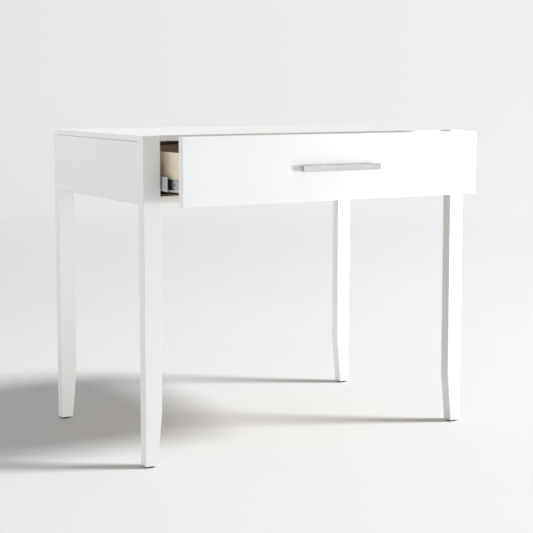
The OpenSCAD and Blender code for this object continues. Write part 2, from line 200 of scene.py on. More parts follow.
# ---------------------------------------------------------------- materials
def white_lacquer():
    """Sprayed satin lacquer: fine orange peel, slow waves, faint tone drift."""
    m = Net("white_lacquer")
    p = m.coords()
    peel = m.noise(p, 620.0, 3.0, 0.55)
    waves = m.noise(p, 34.0, 2.0, 0.5)
    drift = m.noise(p, 5.5, 3.0, 0.6)
    dust = m.noise(p, 1900.0, 1.0, 0.5)
    tone = m.blend(m.remap(drift, 0.3, 0.7, 0.0, 1.0), (0.795, 0.794, 0.788), (0.812, 0.812, 0.807))
    tone = m.blend(m.remap(dust, 0.70, 0.78, 0.0, 0.10), tone, (0.74, 0.74, 0.73))
    rough = m.math("ADD", m.remap(waves, 0.3, 0.7, 0.31, 0.37), m.remap(peel, 0.3, 0.7, -0.015, 0.025))
    normal = m.bump(waves, 0.00035, 0.20)
    normal = m.bump(peel, 0.00003, 0.55, normal)
    return m.surface(Base_Color=tone, Roughness=rough, IOR=1.47, Coat_Weight=0.12,
                     Coat_Roughness=0.22, Coat_IOR=1.5, Normal=normal)


def hardwood(name, axis, shift=(0.0, 0.0), light=(0.845, 0.735, 0.59), dark=(0.715, 0.585, 0.435),
             ply=None):
    """Clear-coated pale hardwood with its grain along one axis, and end grain
    on the faces across it. ply = (bottom, top) draws glued layers on the edges."""
    m = Net(name)
    p = m.along(axis, 1.0)
    c = m.split(p)
    # growth rings round a pith a little below the board, slightly tilted
    tilt = m.math("MULTIPLY", c[0], 0.035)
    u = m.math("ADD", m.math("ADD", c[1], 0.05 + shift[0]), tilt)
    v = m.math("ADD", c[2], -0.62 + shift[1])
    warp = m.noise(m.join(m.math("MULTIPLY", c[0], 2.2), m.math("MULTIPLY", c[1], 14.0),
                          m.math("MULTIPLY", c[2], 14.0)), 1.0, 3.0, 0.55)
    radius = m.math("SQRT", m.math("ADD", m.math("MULTIPLY", u, u), m.math("MULTIPLY", v, v)))
    radius = m.math("ADD", radius, m.math("MULTIPLY", warp, 0.020))
    phase = m.math("FRACT", m.math("MULTIPLY", radius, 245.0))
    ring = m.math("POWER", phase, 2.4)
    ring = m.math("MULTIPLY", ring, m.remap(phase, 0.90, 1.0, 1.0, 0.0))
    fibre = m.noise(m.along(axis, 0.030), 850.0, 3.0, 0.6)
    broad = m.noise(m.along(axis, 0.10), 42.0, 2.0, 0.5)
    pore = m.noise(m.along(axis, 0.055), 2300.0, 1.0, 0.5)
    pores = m.remap(pore, 0.64, 0.72, 0.0, 1.0)
    fleck = m.remap(m.noise(m.along(axis, 0.25), 260.0, 1.0, 0.4, 0.6), 0.66, 0.76, 0.0, 1.0)
    mixed = m.math("ADD", m.math("MULTIPLY", ring, 0.55), m.remap(fibre, 0.32, 0.70, 0.0, 0.42), True)
    tone = m.blend(mixed, light, dark)
    tone = m.blend(m.remap(broad, 0.3, 0.7, 0.0, 0.22), tone, tuple(x * 0.93 for x in dark))
    tone = m.blend(m.math("MULTIPLY", fleck, 0.16), tone, tuple(min(1.0, x * 1.08) for x in light))
    tone = m.blend(m.math("MULTIPLY", pores, 0.34), tone, (0.34, 0.22, 0.13))
    # end grain: darker, with the rings and open pores
    speck = m.remap(m.noise(m.coords(), 3200.0, 1.0, 0.5), 0.56, 0.70, 0.0, 1.0)
    end_tone = m.blend(ring, tuple(x * 0.80 for x in light), tuple(x * 0.72 for x in dark))
    end_tone = m.blend(m.math("MULTIPLY", speck, 0.45), end_tone, (0.26, 0.16, 0.09))
    end = m.remap(m.facing(axis), 0.55, 0.75, 0.0, 1.0)
    rough = m.math("ADD", m.remap(fibre, 0.3, 0.7, 0.40, 0.50), m.math("MULTIPLY", pores, 0.12))
    if ply:
        z = m.split(m.coords())[2]
        t = m.remap(z, ply[0], ply[1], 0.0, 1.0)
        core = m.math("MULTIPLY", m.math("GREATER_THAN", t, 0.27), m.math("LESS_THAN", t, 0.73))
        glue = m.math("MAXIMUM", m.remap(m.math("ABSOLUTE", m.math("SUBTRACT", t, 0.27)), 0.0, 0.03, 1.0, 0.0),
                      m.remap(m.math("ABSOLUTE", m.math("SUBTRACT", t, 0.73)), 0.0, 0.03, 1.0, 0.0))
        layer = m.blend(core, tuple(x * 0.90 for x in light), tuple(x * 0.78 for x in dark))
        layer = m.blend(m.math("MULTIPLY", speck, 0.35), layer, (0.30, 0.19, 0.11))
        layer = m.blend(m.math("MULTIPLY", glue, 0.6), layer, (0.24, 0.15, 0.08))
        edge = m.remap(m.facing("Z"), 0.30, 0.50, 1.0, 0.0)
        tone = m.blend(edge, tone, layer)
        rough = m.math("ADD", rough, m.math("MULTIPLY", edge, 0.15))
    else:
        tone = m.blend(end, tone, end_tone)
        rough = m.math("ADD", rough, m.math("MULTIPLY", end, 0.12))
    height = m.math("SUBTRACT", m.math("MULTIPLY", fibre, 0.5), pores)
    return m.surface(Base_Color=tone, Roughness=rough, IOR=1.47, Coat_Weight=0.18,
                     Coat_Roughness=0.30, Normal=m.bump(height, 0.00006, 0.6))


def rolled_zinc(name="zinc_plated_steel", axis="Y", tone=(0.785, 0.805, 0.82), warm=(0.79, 0.78, 0.75)):
    """Bright zinc plate on rolled strip: rolling lines, soft mottling, scuffs."""
    m = Net(name)
    lines = m.noise(m.along(axis, 0.012), 1500.0, 3.0, 0.62)
    scuff = m.noise(m.along(axis, 0.35), 130.0, 3.0, 0.6, 0.8)
    cloud = m.noise(m.coords(), 46.0, 3.0, 0.55)
    grain = m.noise(m.coords(), 2600.0, 1.0, 0.5)
    c = m.blend(m.remap(cloud, 0.34, 0.66, 0.0, 0.75), tone, warm)
    c = m.blend(m.remap(lines, 0.34, 0.70, 0.0, 0.34), c, tuple(x * 0.74 for x in tone))
    c = m.blend(m.remap(scuff, 0.62, 0.74, 0.0, 0.22), c, (0.88, 0.885, 0.89))
    rough = m.math("ADD", m.remap(lines, 0.30, 0.70, 0.26, 0.42), m.remap(cloud, 0.3, 0.7, -0.03, 0.06))
    rough = m.math("ADD", rough, m.remap(scuff, 0.60, 0.74, 0.0, 0.10))
    height = m.math("ADD", lines, m.math("MULTIPLY", grain, 0.5))
    return m.surface(Base_Color=c, Metallic=1.0, Roughness=rough, Normal=m.bump(height, 0.00002, 0.6))


def screw_steel():
    m = Net("screw_steel")
    turned = m.noise(m.coords(), 900.0, 2.0, 0.6)
    cloud = m.noise(m.coords(), 150.0, 2.0, 0.5)
    c = m.blend(m.remap(cloud, 0.35, 0.65, 0.0, 1.0), (0.50, 0.51, 0.53), (0.58, 0.57, 0.53))
    c = m.blend(m.remap(turned, 0.58, 0.74, 0.0, 0.45), c, (0.30, 0.30, 0.31))
    return m.surface(Base_Color=c, Metallic=1.0, Roughness=m.remap(turned, 0.3, 0.7, 0.25, 0.42),
                     Normal=m.bump(turned, 0.00003, 0.5))


def ball_steel():
    m = Net("ball_steel")
    n = m.noise(m.coords(), 1400.0, 2.0, 0.5)
    film = m.noise(m.coords(), 300.0, 2.0, 0.5)
    c = m.blend(m.remap(film, 0.4, 0.65, 0.0, 0.6), (0.66, 0.67, 0.68), (0.52, 0.49, 0.42))
    return m.surface(Base_Color=c, Metallic=1.0, Roughness=m.remap(n, 0.3, 0.7, 0.08, 0.16))


def satin_nickel(name="satin_nickel", axis="X"):
    """Plated bar brushed along its length, then clear-lacquered."""
    m = Net(name)
    hair = m.noise(m.along(axis, 0.010), 2100.0, 3.0, 0.65)
    coarse = m.noise(m.along(axis, 0.020), 620.0, 2.0, 0.6)
    cloud = m.noise(m.coords(), 28.0, 2.0, 0.5)
    c = m.blend(m.remap(cloud, 0.35, 0.65, 0.0, 1.0), (0.548, 0.542, 0.533), (0.578, 0.573, 0.565))
    c = m.blend(m.remap(hair, 0.36, 0.70, 0.0, 0.30), c, (0.43, 0.423, 0.413))
    rough = m.math("ADD", m.remap(hair, 0.30, 0.70, 0.19, 0.29), m.remap(coarse, 0.3, 0.7, -0.03, 0.05))
    height = m.math("ADD", hair, m.math("MULTIPLY", coarse, 0.8))
    return m.surface(Base_Color=c, Metallic=1.0, Roughness=rough, Coat_Weight=0.10, Coat_Roughness=0.20,
                     Normal=m.bump(height, 0.000018, 0.6))


def glide_nylon():
    m = Net("glide_nylon")
    grain = m.noise(m.coords(), 1500.0, 2.0, 0.5)
    scuff = m.noise(m.along("X", 0.2), 700.0, 2.0, 0.6)
    low = m.remap(m.split(m.coords())[2], 0.0, 0.0022, 1.0, 0.0)
    c = m.blend(m.remap(grain, 0.35, 0.65, 0.0, 1.0), (0.016, 0.016, 0.017), (0.030, 0.030, 0.031))
    c = m.blend(m.math("MULTIPLY", m.remap(scuff, 0.5, 0.7, 0.0, 0.5), low), c, (0.12, 0.12, 0.115))
    return m.surface(Base_Color=c, Roughness=m.remap(grain, 0.3, 0.7, 0.42, 0.60), IOR=1.5,
                     Normal=m.bump(grain, 0.00004, 0.5))


def bumper_pad():
    m = Net("bumper_clear")
    haze = m.noise(m.coords(), 900.0, 2.0, 0.5)
    c = m.blend(m.remap(haze, 0.3, 0.7, 0.0, 1.0), (0.80, 0.82, 0.83), (0.90, 0.91, 0.91))
    return m.surface(Base_Color=c, Roughness=m.remap(haze, 0.3, 0.7, 0.14, 0.26), IOR=1.45,
                     Transmission_Weight=0.75, Normal=m.bump(haze, 0.00003, 0.3))


def painted_shade_bore():
    """Painted shade for the wall of a drilled hole: near-black wood tones and darker specks that stand in for the shade
    inside it.
    """
    m = Net("bore_painted_shade")
    rings = m.noise(m.along("X", 6.0), 700.0, 2.0, 0.6)
    shade_speck = m.noise(m.coords(), 1800.0, 2.0, 0.6)
    # near-black wood tones, darker still at the specks: painted shade for the inside of the hole
    c = m.blend(m.remap(rings, 0.35, 0.65, 0.0, 1.0), (0.055, 0.040, 0.028), (0.085, 0.062, 0.042))
    c = m.blend(m.remap(shade_speck, 0.55, 0.70, 0.0, 0.6), c, (0.025, 0.019, 0.014))
    return m.surface(Base_Color=c, Roughness=m.remap(shade_speck, 0.3, 0.7, 0.62, 0.78), Normal=m.bump(rings, 0.00004, 0.6))


def glue_line():
    """Birch peg with compressed flutes, for the hidden dowels."""
    return hardwood("dowel_birch", "X", (0.3, 0.2), (0.74, 0.60, 0.43), (0.58, 0.43, 0.28))


LACQUER = white_lacquer()
WOOD_Y = hardwood("natural_birch_along_y", "Y")
WOOD_Y2 = hardwood("natural_birch_along_y_second", "Y", (0.013, 0.21))
WOOD_X = hardwood("natural_birch_along_x", "X", (0.021, 0.11))
WOOD_SPACER = hardwood("natural_birch_spacer", "Y", (0.04, 0.33), (0.765, 0.63, 0.465), (0.62, 0.47, 0.315))
ZINC = rolled_zinc()
BRACKET_ZINC = rolled_zinc("zinc_plated_brackets", "Z", (0.57, 0.59, 0.60), (0.60, 0.58, 0.53))
SCREW = screw_steel()
BALL = ball_steel()
NICKEL = satin_nickel()
NICKEL_POST = satin_nickel("satin_nickel_turned", "Y")
NYLON = glide_nylon()
PAD = bumper_pad()
DOWEL = glue_line()
# painted shade material for the walls of the drawer sides' pilot holes
BORE_SHADE = painted_shade_bore()


# --------------------------------------------------------------- mesh tools
def prism(outline, axis, a, b):
    """A closed outline extruded along an axis from a to b, as a bmesh. The
    outline's pairs are (y, z), (x, z) or (x, y) for the axes X, Y and Z."""
    place = {"X": lambda p, c: (c, p[0], p[1]), "Y": lambda p, c: (p[0], c, p[1]),
             "Z": lambda p, c: (p[0], p[1], c)}[axis]
    bm = bmesh.new()
    lo = [bm.verts.new(place(p, a)) for p in outline]
    hi = [bm.verts.new(place(p, b)) for p in outline]
    n = len(outline)
    for i in range(n):
        j = (i + 1) % n
        bm.faces.new((lo[i], lo[j], hi[j], hi[i]))
    bm.faces.new(lo[::-1])
    bm.faces.new(hi)
    bmesh.ops.recalc_face_normals(bm, faces=bm.faces[:])
    return bm


def block(lo, hi):
    return prism([(lo[0], lo[1]), (hi[0], lo[1]), (hi[0], hi[1]), (lo[0], hi[1])], "Z", lo[2], hi[2])


def mirrored(bm):
    """The bmesh mirrored in x = 0, for the right-hand twin of a left part."""
    for v in bm.verts:
        v.co.x = -v.co.x
    bmesh.ops.reverse_faces(bm, faces=bm.faces[:])
    return bm


def new_object(name, bm):
    mesh = bpy.data.meshes.new(name)
    bm.normal_update()
    bm.to_mesh(mesh)
    bm.free()
    obj = bpy.data.objects.new(name, mesh)
    scene.collection.objects.link(obj)
    return obj


def settle(obj):
    """Applies the object's modifiers to its mesh."""
    bpy.context.view_layer.update()
    dg = bpy.context.evaluated_depsgraph_get()
    mesh = bpy.data.meshes.new_from_object(obj.evaluated_get(dg), preserve_all_data_layers=True, depsgraph=dg)
    old = obj.data
    obj.modifiers.clear()
    obj.data = mesh
    mesh.name = obj.name
    bpy.data.meshes.remove(old)
    return obj


def soften(obj, width, segments=3, pick=None, angle=30.0):
    """Rounds edges. pick(p, q) gives the width in millimetres for an edge from
    its two ends, or None; without it every edge sharper than angle gets width."""
    mesh = obj.data
    bm = bmesh.new()
    bm.from_mesh(mesh)
    layer = bm.edges.layers.float.get("bevel_weight_edge") or bm.edges.layers.float.new("bevel_weight_edge")
    top = 0.0
    wants = {}
    for e in bm.edges:
        w = 0.0
        if len(e.link_faces) == 2 and e.calc_face_angle(0.0) > math.radians(angle):
            w = width if pick is None else (pick(e.verts[0].co, e.verts[1].co) or 0.0)
            e.smooth = w > 0.0
        wants[e] = w
        top = max(top, w)
    for e, w in wants.items():
        e[layer] = w / top if top else 0.0
    for f in bm.faces:
        f.smooth = True
    bm.to_mesh(mesh)
    bm.free()
    if top:
        mod = obj.modifiers.new("edges", "BEVEL")
        mod.limit_method = "WEIGHT"
        mod.width = top * MM
        mod.segments = segments
        mod.profile = 0.5
        mod.use_clamp_overlap = True
        mod.miter_outer = "MITER_ARC"
        settle(obj)
        obj.data.set_sharp_from_angle(angle=math.radians(47))
    mod = obj.modifiers.new("shading", "WEIGHTED_NORMAL")
    mod.keep_sharp = True
    mod.weight = 60
    return settle(obj)


def cut(obj, *cutters):
    """Takes the cutters away from the object, and removes them."""
    for c in cutters:
        mod = obj.modifiers.new("cut", "BOOLEAN")
        mod.operation, mod.solver, mod.object = "DIFFERENCE", "EXACT", c
    settle(obj)
    for c in cutters:
        mesh = c.data
        bpy.data.objects.remove(c)
        bpy.data.meshes.remove(mesh)
    return obj


def rod(axis, a, b, r, p, n=28, stretch=0.0):
    """A cutter: a cylinder along an axis, or a slot stretched along +-Y."""
    pts = []
    for i in range(n):
        t = 2 * math.pi * i / n
        u, v = r * math.cos(t), r * math.sin(t)
        if stretch:
            u += math.copysign(stretch / 2, u if abs(u) > 1e-9 else 1.0)
        pts.append((p[0] + u, p[1] + v))
    return new_object("cutter", prism(pts, axis, a, b))


def fillet(path, r, n=5):
    """Rounds the corners of an open path of 2-D points."""
    out = [Vector(path[0])]
    for i in range(1, len(path) - 1):
        a, b, c = (Vector(path[i + k]) for k in (-1, 0, 1))
        d0, d1 = (a - b).normalized(), (c - b).normalized()
        half = math.acos(max(-1.0, min(1.0, d0.dot(d1)))) / 2
        reach = min(r / math.tan(half), 0.499 * (a - b).length if 1 < i else (a - b).length * 0.98,
                    0.499 * (c - b).length if i < len(path) - 2 else (c - b).length * 0.98)
        rr = reach * math.tan(half)
        centre = b + (d0 + d1).normalized() * (rr / math.sin(half))
        s, e = b + d0 * reach - centre, b + d1 * reach - centre
        a0, a1 = math.atan2(s.y, s.x), math.atan2(e.y, e.x)
        turn = (a1 - a0 + math.pi) % (2 * math.pi) - math.pi
        out += [centre + Vector((math.cos(a0 + turn * k / n), math.sin(a0 + turn * k / n))) * rr
                for k in range(n + 1)]
    return out + [Vector(path[-1])]


def strip(path, t, r, n=5):
    """Closed outline of a bent strip of thickness t along a path of its middle."""
    line = fillet([Vector(p) for p in path], r, n)
    left, right = [], []
    for i, p in enumerate(line):
        d = (line[min(i + 1, len(line) - 1)] - line[max(i - 1, 0)]).normalized()
        if 0 < i < len(line) - 1:
            d0, d1 = (p - line[i - 1]).normalized(), (line[i + 1] - p).normalized()
            d = (d0 + d1).normalized()
            k = 1 / max(0.5, d.dot(d1))
        else:
            k = 1.0
        nrm = Vector((-d.y, d.x)) * (t / 2 * k)
        left.append(p + nrm)
        right.append(p - nrm)
    pts = [tuple(v) for v in left + right[::-1]]
    area = sum(pts[i][0] * pts[(i + 1) % len(pts)][1] - pts[(i + 1) % len(pts)][0] * pts[i][1]
               for i in range(len(pts)))
    return pts if area > 0 else pts[::-1]


def dress(obj, material, slot_name, body, *nodes):
    """Gives a piece its materials and body, and hides what it stands for."""
    shares = [f.material_index for f in obj.data.polygons]
    obj.data.materials.clear()
    for mat in (material if isinstance(material, (list, tuple)) else [material]):
        obj.data.materials.append(mat)
    obj.data.polygons.foreach_set("material_index", shares)
    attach(obj, body)
    if nodes:
        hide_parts(*nodes)
    return obj


def from_cad(name, node, width=0.3, segments=2, angle=32.0):
    """A copy of a CAD node with welded, cleaned faces and softened edges."""
    bm = bmesh.new()
    bm.from_mesh(frame["nodes"][node].data)
    bmesh.ops.remove_doubles(bm, verts=bm.verts[:], dist=2e-6)
    bmesh.ops.dissolve_limit(bm, angle_limit=math.radians(1.0), verts=bm.verts[:], edges=bm.edges[:])
    for layer in list(bm.loops.layers.uv.values()):
        bm.loops.layers.uv.remove(layer)
    obj = new_object(name, bm)
    names = [a.name for a in obj.data.attributes if a.name == "custom_normal"]
    for n in names:
        obj.data.attributes.remove(obj.data.attributes[n])
    return soften(obj, width, segments, None, angle)


def near(a, b, tol=2e-5):
    return abs(a - b) < tol


# -------------------------------------------------------------------- frame
# Legs: tapered inside near the foot. The outline is in (x, z), left side.
def leg(name, left, front):
    lo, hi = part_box(name)
    sx, sy = (1 if left else -1), (1 if front else -1)
    x_out = lo.x if left else hi.x                 # outer face
    w = hi.x - lo.x
    taper_z, taper_a, taper_r = 142 * MM, math.radians(5.4), 260 * MM
    foot = w - taper_r * (1 - math.cos(taper_a)) - (taper_z - taper_r * math.sin(taper_a) - lo.z) * math.tan(taper_a)
    pts = [(0.0, lo.z), (foot, lo.z)]
    n = 14
    for i in range(n, -1, -1):
        a = taper_a * i / n
        pts.append((w - taper_r * (1 - math.cos(a)), taper_z - taper_r * math.sin(a)))
    pts += [(w, hi.z), (0.0, hi.z)]
    outline = [(x_out + sx * p[0], p[1]) for p in pts]
    bm = prism(outline, "Y", lo.y, hi.y)
    y_front = lo.y if front else hi.y              # the face seen from outside
    obj = new_object(name + "_lacquered", bm)
    x_in = x_out + sx * w
    y_back = hi.y if front else lo.y

    def pick(p, q):
        mid = (p + q) / 2
        if near(p.z, hi.z) and near(q.z, hi.z):
            if near(p.y, q.y):
                return 1.0 if near(p.y, y_front) else None
            return 1.0 if near(mid.x, x_out, 1e-4) else None
        if near(p.z, lo.z) and near(q.z, lo.z):
            return 1.4
        if near(p.y, q.y):                          # the long edges
            if near(p.y, y_front):
                return 1.0
            return 0.35 if near(mid.x, x_out, 1e-4) else 0.8
        return None

    soften(obj, 1.4, 3, pick, 10.0)
    return dress(obj, LACQUER, "white_lacquer", "cabinet", name)


for left in (True, False):
    for front in (True, False):
        leg("leg_%s_%s" % ("front" if front else "rear", "left" if left else "right"), left, front)


# Top: a slab notched round the legs, whose ends show flush in its corners
def top():
    lo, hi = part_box("desk_top")
    leg_lo, leg_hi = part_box("leg_front_left")
    _, rear_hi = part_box("leg_rear_right")
    bay, y0 = -leg_hi.x, leg_hi.y
    y1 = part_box("leg_rear_left")[0].y
    outline = [(-bay, lo.y), (bay, lo.y), (bay, y0), (hi.x, y0), (hi.x, y1), (bay, y1),
               (bay, hi.y), (-bay, hi.y), (-bay, y1), (lo.x, y1), (lo.x, y0), (-bay, y0)]
    obj = new_object("desk_top_lacquered", prism(outline, "Z", lo.z, hi.z))

    def pick(p, q):
        if not near(p.z, q.z):
            return None
        rim = ((near(p.y, lo.y) and near(q.y, lo.y)) or (near(p.y, hi.y) and near(q.y, hi.y))
               or (near(abs(p.x), hi.x) and near(abs(q.x), hi.x)))
        if not rim:
            return None
        return 1.0 if near(p.z, hi.z) else 0.5

    soften(obj, 1.0, 3, pick)
    return dress(obj, LACQUER, "white_lacquer", "cabinet", "desk_top")


top()


# Side panels and back apron, with the rebate that makes the shadow line
def panels():
    for name, s in (("side_panel_left", 1), ("side_panel_right", -1)):
        lo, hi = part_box(name)
        out, inn = (lo.x, hi.x) if s > 0 else (hi.x, lo.x)
        z1 = hi.z
        outline = [(out, lo.z), (inn, lo.z), (inn, z1), (out + s * 0.002, z1),
                   (out + s * 0.002, z1 - 0.0015), (out, z1 - 0.0015)]
        obj = new_object(name + "_lacquered", prism(outline, "Y", lo.y, hi.y))

        def pick(p, q, lo=lo, hi=hi, out=out, inn=inn, z1=z1):
            if near(p.y, q.y) and not near(p.z, q.z):
                return 0.3 if near(p.x, out) and near(q.x, out) else None
            if near(p.z, lo.z) and near(q.z, lo.z) and near(p.x, q.x):
                return 0.9
            if near(p.x, out) and near(q.x, out) and near(p.z, z1 - 0.0015):
                return 0.35
            return None

        soften(obj, 0.9, 3, pick)
        dress(obj, LACQUER, "white_lacquer", "cabinet", name)
    lo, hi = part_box("back_apron")
    outline = [(lo.y, lo.z), (hi.y, lo.z), (hi.y, hi.z - 0.0015), (hi.y - 0.002, hi.z - 0.0015),
               (hi.y - 0.002, hi.z), (lo.y, hi.z)]
    obj = new_object("back_apron_lacquered", prism(outline, "X", lo.x, hi.x))

    def pick(p, q):
        if near(p.x, q.x) and not near(p.z, q.z):
            return 0.3 if near(p.y, hi.y) and near(q.y, hi.y) else None
        if near(p.z, lo.z) and near(q.z, lo.z) and near(p.y, q.y):
            return 0.9
        if near(p.y, hi.y) and near(q.y, hi.y) and near(p.z, hi.z - 0.0015):
            return 0.35
        return None

    soften(obj, 0.9, 3, pick)
    dress(obj, LACQUER, "white_lacquer", "cabinet", "back_apron")


panels()


# Rail under the drawer
def rail():
    lo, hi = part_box("front_rail")
    bay = -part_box("leg_front_left")[1].x
    y0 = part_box("leg_front_left")[1].y
    outline = [(-bay, lo.y), (bay, lo.y), (bay, y0), (hi.x, y0), (hi.x, hi.y), (lo.x, hi.y), (lo.x, y0), (-bay, y0)]
    obj = new_object("front_rail_lacquered", prism(outline, "Z", lo.z, hi.z))
    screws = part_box("rail_screws")
    x = (screws[1].x - 0.004)
    y = (screws[0].y + screws[1].y) / 2
    cut(obj, *[rod("Z", lo.z - 0.001, lo.z + 0.003, 0.004, (s * x, y)) for s in (-1, 1)])

    def pick(p, q):
        if near(p.z, q.z) and near(p.y, q.y) and (near(p.y, lo.y) or near(p.y, hi.y)):
            return 0.8
        return None

    soften(obj, 0.8, 3, pick)
    dress(obj, LACQUER, "white_lacquer", "cabinet", "front_rail")


rail()


# ---------------------------------------------------------------- the drawer
def drawer_boards():
    # front: rounded all round its face
    lo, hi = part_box("drawer_front")
    obj = new_object("drawer_front_lacquered", block(lo, hi))

    def pick(p, q):
        return 1.2 if near(p.y, lo.y) and near(q.y, lo.y) else (1.0 if not near(p.y, q.y) else 0.8)

    soften(obj, 1.2, 4, pick)
    dress(obj, LACQUER, "white_lacquer", "drawer", "drawer_front")

    # sides: eased top edges, the groove for the bottom and two pilot holes
    face = hi.y
    zc = sum(v.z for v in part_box("slide_drawer_member_left")) / 2
    blo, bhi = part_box("drawer_bottom")
    for name, s in (("drawer_side_left", 1), ("drawer_side_right", -1)):
        lo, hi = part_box(name)
        out, inn = (lo.x, hi.x) if s > 0 else (hi.x, lo.x)
        g = inn - s * 0.006
        outline = [(out, lo.z), (inn, lo.z), (inn, blo.z), (g, blo.z), (g, bhi.z), (inn, bhi.z),
                   (inn, hi.z), (out, hi.z)]
        obj = new_object(name + "_board", prism(outline, "Y", lo.y, hi.y))
        a, b = sorted((out - s * 0.001, out + s * 0.009))
        cut(obj, *[rod("X", a, b, 0.0024, (face + d, zc)) for d in (0.040, 0.060)])

        def pick(p, q, lo=lo, hi=hi):
            if near(p.y, q.y):
                return 0.4 if near(p.y, hi.y) and near(p.x, q.x) is True else None
            if near(p.z, hi.z) and near(q.z, hi.z):
                return 1.6
            if near(p.z, lo.z) and near(q.z, lo.z):
                return 0.8
            return None

        soften(obj, 1.6, 4, pick)
        # the pilot holes' walls take the second material: painted shade, near-black, for the darkness inside the holes
        for f in obj.data.polygons:
            c = f.center
            if min(math.hypot(c.y - face - d, c.z - zc) for d in (0.040, 0.060)) < 0.0025 and abs(c.x - inn) > 0.001:
                f.material_index = 1
        dress(obj, [WOOD_Y if s > 0 else WOOD_Y2, BORE_SHADE], "natural_birch", "drawer", name)

    for name in ("drawer_box_front", "drawer_box_back"):
        lo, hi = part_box(name)
        obj = new_object(name + "_board", block(lo, hi))

        def pick(p, q, lo=lo, hi=hi):
            if near(p.z, hi.z) and near(q.z, hi.z) and near(p.y, q.y):
                return 1.6
            if near(p.z, lo.z) and near(q.z, lo.z) and near(p.y, q.y):
                return 0.6
            return None

        soften(obj, 1.6, 4, pick)
        dress(obj, WOOD_X, "natural_birch", "drawer", name)

    lo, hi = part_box("drawer_bottom")
    obj = new_object("drawer_bottom_panel", block(lo, hi))
    soften(obj, 0.3, 2, lambda p, q: 0.3 if near(p.y, hi.y) and near(q.y, hi.y) and near(p.z, q.z) else None)
    ply = hardwood("drawer_bottom_ply", "X", (0.05, 0.27), (0.79, 0.66, 0.50), (0.67, 0.52, 0.365), (lo.z, hi.z))
    dress(obj, ply, "drawer_bottom_ply", "drawer", "drawer_bottom")


drawer_boards()

lo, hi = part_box("dust_board")
dress(from_cad("dust_board_sheet", "dust_board", 0.3, 1),
      hardwood("dust_board_ply", "X", (0.08, 0.41), (0.77, 0.64, 0.48), (0.66, 0.51, 0.355), (lo.z, hi.z)),
      "drawer_bottom_ply", "cabinet", "dust_board")

for side, s in (("left", 1), ("right", -1)):
    node = "slide_spacer_" + side
    obj = from_cad(node + "_board", node, 0.6, 2)
    dress(obj, WOOD_SPACER, "natural_birch", "cabinet", node)


